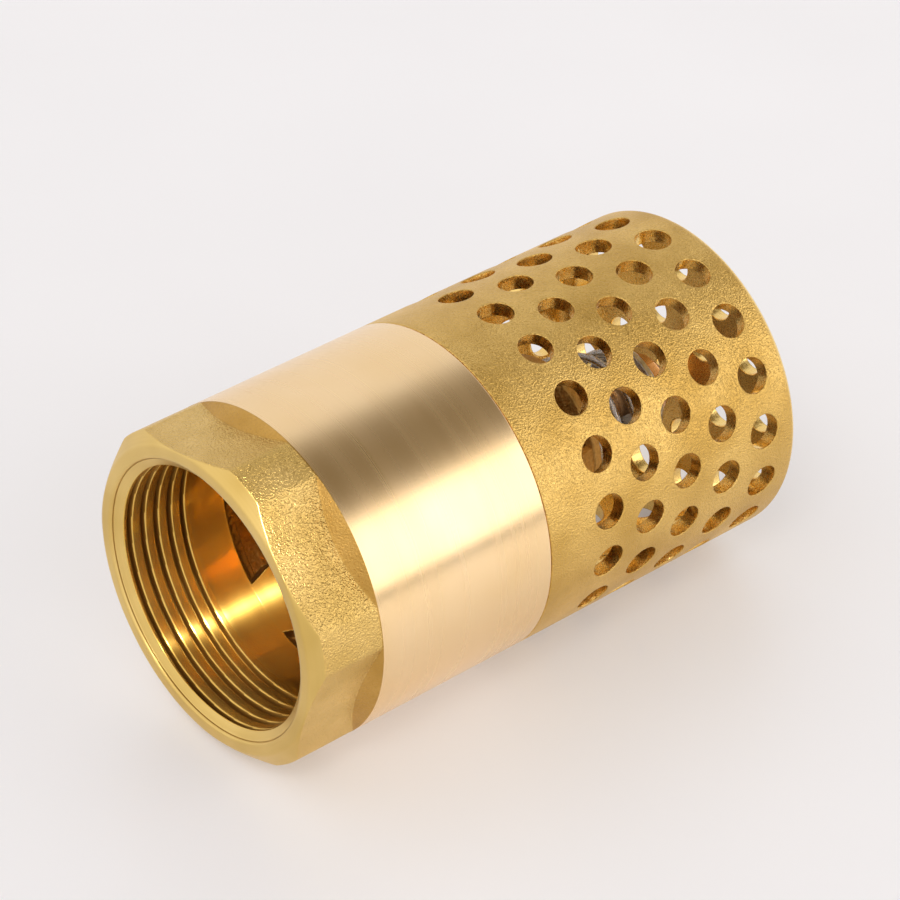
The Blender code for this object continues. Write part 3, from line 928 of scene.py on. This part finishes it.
def valve_stem():
    """The stem: threaded at both ends, with a collar behind the seal."""
    front, back, collar_r = node_span("valve_stem")
    collar_start, collar_end = 34.1, 36.6
    threads = ((front, 27.3), (77.4, back))

    def shaped(station, radius, angle):
        for start, end in threads:
            if radius == STEM_R and start <= station <= end:
                turn = (station / STEM_THREAD_PITCH - angle / 360.0) % 1.0
                wave = 0.5 - 0.5 * math.cos(2 * math.pi * turn)
                ends = ramp(station, start, start + 0.6) * (1 - ramp(station, end - 0.5, end))
                return radius - STEM_THREAD_DEPTH * wave * max(ends, 0.25)
        return radius

    def rod(start, end, spacing):
        return [(station, STEM_R) for station in steps(start, end, spacing)]

    outline = [(front, STEM_R - 1.0), (front, STEM_R - 0.5), (front + 0.4, STEM_R)]
    outline += rod(front + 0.5, 27.4, 0.1)
    outline += rod(27.6, collar_start, 1.0)
    outline += fillet([(collar_start, STEM_R, 0.2), (collar_start, collar_r, 0.3),
                       (collar_end, collar_r, 0.3), (collar_end, STEM_R, 0.2)])
    outline += rod(collar_end + 0.5, 77.0, 3.0)
    outline += rod(77.3, back - 0.5, 0.1)
    outline += [(back - 0.4, STEM_R), (back, STEM_R - 0.5), (back, STEM_R - 1.0)]
    columns = 48
    vertices = []
    for station, radius in outline:
        for column in range(columns):
            angle = 360.0 * column / columns
            vertices.append(at(station, shaped(station, radius, angle), angle))
    faces = loop_faces(len(outline), columns, False)
    for station, row in ((front, 0), (back, len(outline) - 1)):
        middle = len(vertices)
        vertices.append(at(station, 0.0, 0.0))
        faces.extend((middle, row * columns + column, row * columns + (column + 1) % columns)
                     for column in range(columns))
    stem = add_piece("threaded_stem", vertices, faces, [STEM_BRASS])
    return finish_piece(stem, "poppet", "machined_brass", "valve_stem")


def poppet_disc():
    """The disc in front of the seal: flat, with a boss and a shallow turned dish."""
    front, back, outer_r = node_span("poppet_disc")
    disc = turned("poppet_plate", fillet([
        (front, STEM_HOLE_R, 0.2), (front, 8.0, 0.3), (front + 0.45, 8.8, 0.4),
        (front + 0.45, outer_r - 2.6, 0.4), (front, outer_r - 1.9, 0.3),
        (front, outer_r, 0.35), (back, outer_r, 0.3), (back, STEM_HOLE_R, 0.2),
    ]), DISC_TURNED, 144)
    return finish_piece(disc, "poppet", "machined_brass", "poppet_disc")


def ramp_line(value, start, end):
    """0 before start, 1 after end, a straight rise between with eased ends."""
    part = min(max((value - start) / (end - start), 0.0), 1.0)
    return 0.85 * part + 0.15 * part * part * (3 - 2 * part)


def return_spring():
    """A conical compression spring with closed, ground ends."""
    node_start, node_end, _ = node_span("return_spring")
    first, last = node_start + WIRE_R, node_end - WIRE_R
    closed = 0.75  # turns that lie flat at each end
    ground = 0.55 * WIRE_R  # how much of the wire is ground off there
    per_turn, section = 56, 14  # mesh points along a turn and round the wire
    count = round(per_turn * COILS)
    vertices = []
    for index in range(count + 1):
        turn = COILS * index / count
        station = first + (last - first) * ramp_line(turn, closed, COILS - closed)
        radius = SPRING_START_R + (SPRING_END_R - SPRING_START_R) * turn / COILS
        flat_front = ramp(closed - turn, 0.0, closed) * ground
        flat_back = ramp(turn - (COILS - closed), 0.0, closed) * ground
        for step in range(section):
            around = 2 * math.pi * step / section
            along = math.cos(around) * WIRE_R
            along = max(along, -WIRE_R + flat_front)
            along = min(along, WIRE_R - flat_back)
            vertices.append(at(station + along - flat_front + flat_back,
                               radius + math.sin(around) * WIRE_R, 360.0 * turn))
    faces = loop_faces(count + 1, section, False)
    faces.append(tuple(range(section)))
    faces.append(tuple(range(len(vertices) - section, len(vertices)))[::-1])
    spring = add_piece("coil_spring", vertices, faces, [SPRING_STEEL])
    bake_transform(spring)
    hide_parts("return_spring")
    return spring


def body_gasket():
    """An O-ring: a round section turned about the axis."""
    low, high, outer_r = node_span("body_gasket")
    section_r = (high - low) / 2
    middle_r, middle = outer_r - section_r, (low + high) / 2
    points = 20
    outline = []
    for step in range(points):
        turn = 2 * math.pi * step / points
        outline.append((middle + section_r * math.sin(turn), middle_r + section_r * math.cos(turn)))
    ring = turned("sealing_ring", outline, SEAL_RUBBER, 144)
    return finish_piece(ring, "housing", "seal_rubber", "body_gasket")


# ---- studio ----
def add_floor():
    finish = Finish("floor_white", metallic=0.0, roughness=0.38, emission_strength=FLOOR_GLOW)
    finish.shader.inputs["Emission Color"].default_value = (1.0, 0.985, 0.985, 1.0)
    tone = finish.mix(finish.remap(finish.grain(60.0, 2.0), 0.3, 0.7),
                      (0.69, 0.68, 0.685), (0.71, 0.70, 0.705))
    mesh = bpy.data.meshes.new("floor")
    reach = FLOOR_REACH * MM
    mesh.from_pydata([(-reach, -reach, 0), (reach, -reach, 0), (reach, reach, 0),
                      (-reach, reach, 0)], [], [(0, 1, 2, 3)])
    mesh.materials.append(finish.end(tone))
    floor = bpy.data.objects.new("floor", mesh)
    bpy.context.scene.collection.objects.link(floor)


def add_world():
    """Pale walls, brighter on the outlet's side, and a darker ceiling above the valve."""
    world = bpy.data.worlds.new("studio")
    bpy.context.scene.world = world
    world.use_nodes = True
    nodes, links = world.node_tree.nodes, world.node_tree.links
    direction = nodes.new("ShaderNodeTexCoord").outputs["Generated"]

    def blend(towards, start, end, first, second):
        """Mix two colours by how far a direction points towards an axis."""
        dot = nodes.new("ShaderNodeVectorMath")
        dot.operation = "DOT_PRODUCT"
        dot.inputs[1].default_value = Vector(towards).normalized()
        links.new(direction, dot.inputs[0])
        fade = nodes.new("ShaderNodeMapRange")
        fade.interpolation_type = "SMOOTHSTEP"
        fade.inputs["From Min"].default_value = start
        fade.inputs["From Max"].default_value = end
        links.new(dot.outputs["Value"], fade.inputs["Value"])
        mix = nodes.new("ShaderNodeMix")
        mix.data_type = "RGBA"  # its colours are inputs 6 and 7 and output 2
        links.new(fade.outputs["Result"], mix.inputs["Factor"])
        for socket, color in ((mix.inputs[6], first), (mix.inputs[7], second)):
            if isinstance(color, tuple):
                socket.default_value = (*color, 1.0)
            else:
                links.new(color, socket)
        return mix.outputs[2]

    walls = blend(OUTLET_SIDE_AXIS, *OUTLET_SIDE_FADE, WALLS, OUTLET_SIDE)
    room = blend(CEILING_AXIS, *CEILING_FADE, walls, CEILING)
    links.new(room, nodes["Background"].inputs["Color"])


def aim(thing, target, outward, distance):
    """Put a light or camera outwards from a target, and turn it to face the target."""
    thing.location = (target + outward * distance) * MM
    thing.rotation_mode = "QUATERNION"
    thing.rotation_quaternion = (-outward).to_track_quat("-Z", "Y")
    bpy.context.scene.collection.objects.link(thing)


def add_card(name, azimuth, low, high, width, distance, brightness, color):
    """A soft light that faces the valve.  azimuth is from +X towards +Y; low and high are the
    elevations of its edges; brightness sets its power for each unit of area."""
    middle = math.radians((low + high) / 2)
    height = 2 * distance * math.tan(math.radians((high - low) / 2))
    light = bpy.data.lights.new(name, "AREA")
    light.shape = "RECTANGLE"
    light.size = width * MM
    light.size_y = height * MM
    light.energy = brightness * math.pi * width * height * MM * MM
    light.color = color
    card = bpy.data.objects.new(name, light)
    turn = math.radians(azimuth)
    outward = Vector((math.cos(middle) * math.cos(turn), math.cos(middle) * math.sin(turn),
                      math.sin(middle)))
    card.visible_camera = False
    aim(card, Vector((0.0, 0.0, AXIS_Z)), outward, distance)


def add_beam(name, direction, distance, radius, power):
    """A narrow beam into the outlet from a direction, which lights a streak along the bore."""
    light = bpy.data.lights.new(name, "SPOT")
    light.energy = power
    light.color = (1.0, 0.97, 0.88)
    light.shadow_soft_size = BEAM_SOURCE_R * MM
    light.spot_size = 2 * math.atan(radius / distance)
    light.spot_blend = 0.4
    beam = bpy.data.objects.new(name, light)
    beam.visible_camera = False
    mouth = Vector((OUTLET_X, 0.0, AXIS_Z))
    aim(beam, mouth + Vector(BEAM_AIM), Vector(direction).normalized(), distance)


def add_flag(azimuth, distance, height, width):
    """A low black strip on the floor, which puts a dark line under the card's reflection."""
    turn = math.radians(azimuth)
    middle = Vector((math.cos(turn), math.sin(turn), 0.0)) * distance
    side = Vector((-math.sin(turn), math.cos(turn), 0.0)) * width / 2
    top = Vector((0.0, 0.0, height))
    mesh = bpy.data.meshes.new("flag")
    corners = (middle - side, middle + side, middle + side + top, middle - side + top)
    mesh.from_pydata([corner * MM for corner in corners], [], [(0, 1, 2, 3)])
    finish = Finish("flag_black", metallic=0.0, roughness=1.0)
    mesh.materials.append(finish.end(finish.mix(0.5, (0.02, 0.02, 0.02), (0.04, 0.03, 0.02))))
    flag = bpy.data.objects.new("flag", mesh)
    flag.visible_camera = False
    flag.visible_diffuse = False
    flag.visible_shadow = False
    bpy.context.scene.collection.objects.link(flag)


def add_camera():
    turn, tilt = math.radians(CAMERA_AZIMUTH), math.radians(CAMERA_ELEVATION)
    back = Vector((math.sin(turn) * math.cos(tilt), -math.cos(turn) * math.cos(tilt),
                   math.sin(tilt)))
    data = bpy.data.cameras.new("camera")
    data.lens = CAMERA_LENS
    data.sensor_width = 36.0
    data.clip_start = 0.01
    data.clip_end = 50.0
    camera = bpy.data.objects.new("camera", data)
    aim(camera, Vector(CAMERA_AIM), back, CAMERA_DISTANCE)
    bpy.context.scene.camera = camera


# ---- assembly ----
valve_body()
strainer_basket()
guide_cage()
body_gasket()
poppet_disc()
valve_stem()
return_spring()
washer("seat_rubber", "seat_seal", SEAL_RUBBER, "poppet", "seal_rubber", 0.35)
washer("seal_plate", "seal_retainer", DISC_TURNED, "poppet", "machined_brass", 0.25)
washer("spring_plate", "spring_washer", PLATE_STEEL, "spring_seat", "steel", 0.2)
nut("disc_nut", "poppet_nut", 10.0, DISC_TURNED, "machined_brass")
nut("end_nut", "stem_nut", 9.0, STEM_BRASS, "machined_brass")

add_floor()
add_world()
add_card("front_card", azimuth=-53.0, low=0.5, high=38.5, width=1000.0, distance=1200.0,
         brightness=1.35, color=(1.0, 0.95, 0.94))
add_card("outlet_card", azimuth=-142.0, low=40.0, high=56.0, width=360.0, distance=1300.0,
         brightness=5.0, color=(1.0, 0.98, 0.95))
add_beam("outlet_beam", direction=(-0.534, -0.405, 0.743), distance=1300.0, radius=6.0,
         power=170.0)
add_flag(azimuth=-55.0, distance=370.0, height=20.0, width=500.0)
add_camera()
bpy.context.scene.view_settings.view_transform = "Standard"
